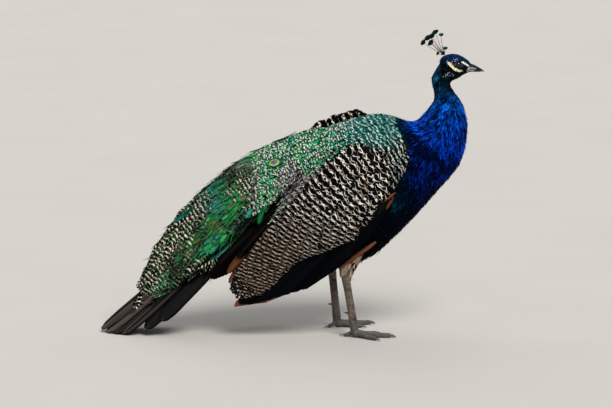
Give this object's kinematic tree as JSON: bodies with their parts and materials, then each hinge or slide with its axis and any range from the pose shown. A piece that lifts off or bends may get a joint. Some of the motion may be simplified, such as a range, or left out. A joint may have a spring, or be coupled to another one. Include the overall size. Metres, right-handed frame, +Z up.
{
  "type": "peacock",
  "caption": "Still, life-size male peafowl standing with neck raised, wings folded, and a short train and tail sloping down to the floor.",
  "frame": {"origin": "on the floor, under the middle of the bird's bounding box", "axes": "+X forward, from tail to bill; +Y to the bird's left; +Z up"},
  "size_m": [0.8034, 0.2138, 0.6401],
  "materials": {
    "blue_plumage": "glossy shifting blue feathers",
    "dark_plumage": "dark green-black feathers",
    "green_plumage": "glossy green and bronze feathers with pale bars",
    "barred_plumage": "matt buff feathers with wavy black bars",
    "black_plumage": "satin blue-black feathers",
    "chestnut_plumage": "matt chestnut feathers",
    "tail_feathers": "satin dark brown feathers",
    "buff_plumage": "soft buff feathers",
    "crest_feathers": "bare pale shafts with glossy blue-green tips",
    "horn": "satin grey-brown horn",
    "leg_skin": "scaly grey-brown skin",
    "eye": "wet, clear and dark brown"
  },
  "bodies": {
    "root": {"head": "blue_plumage", "neck_upper": "blue_plumage", "neck_lower": "blue_plumage", "breast": "blue_plumage", "trunk": "dark_plumage", "rump": "green_plumage", "train": "green_plumage", "tail": "tail_feathers", "crest": "crest_feathers", "eye_R": "eye", "eye_L": "eye", "bill_upper": "horn", "bill_lower": "horn", "wing_shield_R": "barred_plumage", "wing_shield_L": "barred_plumage", "scapulars_L": "barred_plumage", "wing_secondaries_R": "black_plumage", "wing_secondaries_L": "black_plumage", "wing_primaries_R": "chestnut_plumage", "wing_primaries_L": "chestnut_plumage", "thigh_R": "buff_plumage", "thigh_L": "buff_plumage", "shank_R": "leg_skin", "shank_L": "leg_skin", "foot_R": "leg_skin", "foot_L": "leg_skin", "spur_R": "horn", "spur_L": "horn", "claw_inner_R": "horn", "claw_middle_R": "horn", "claw_outer_R": "horn", "claw_hind_R": "horn", "claw_inner_L": "horn", "claw_middle_L": "horn", "claw_outer_L": "horn", "claw_hind_L": "horn"}
  },
  "joints": []
}
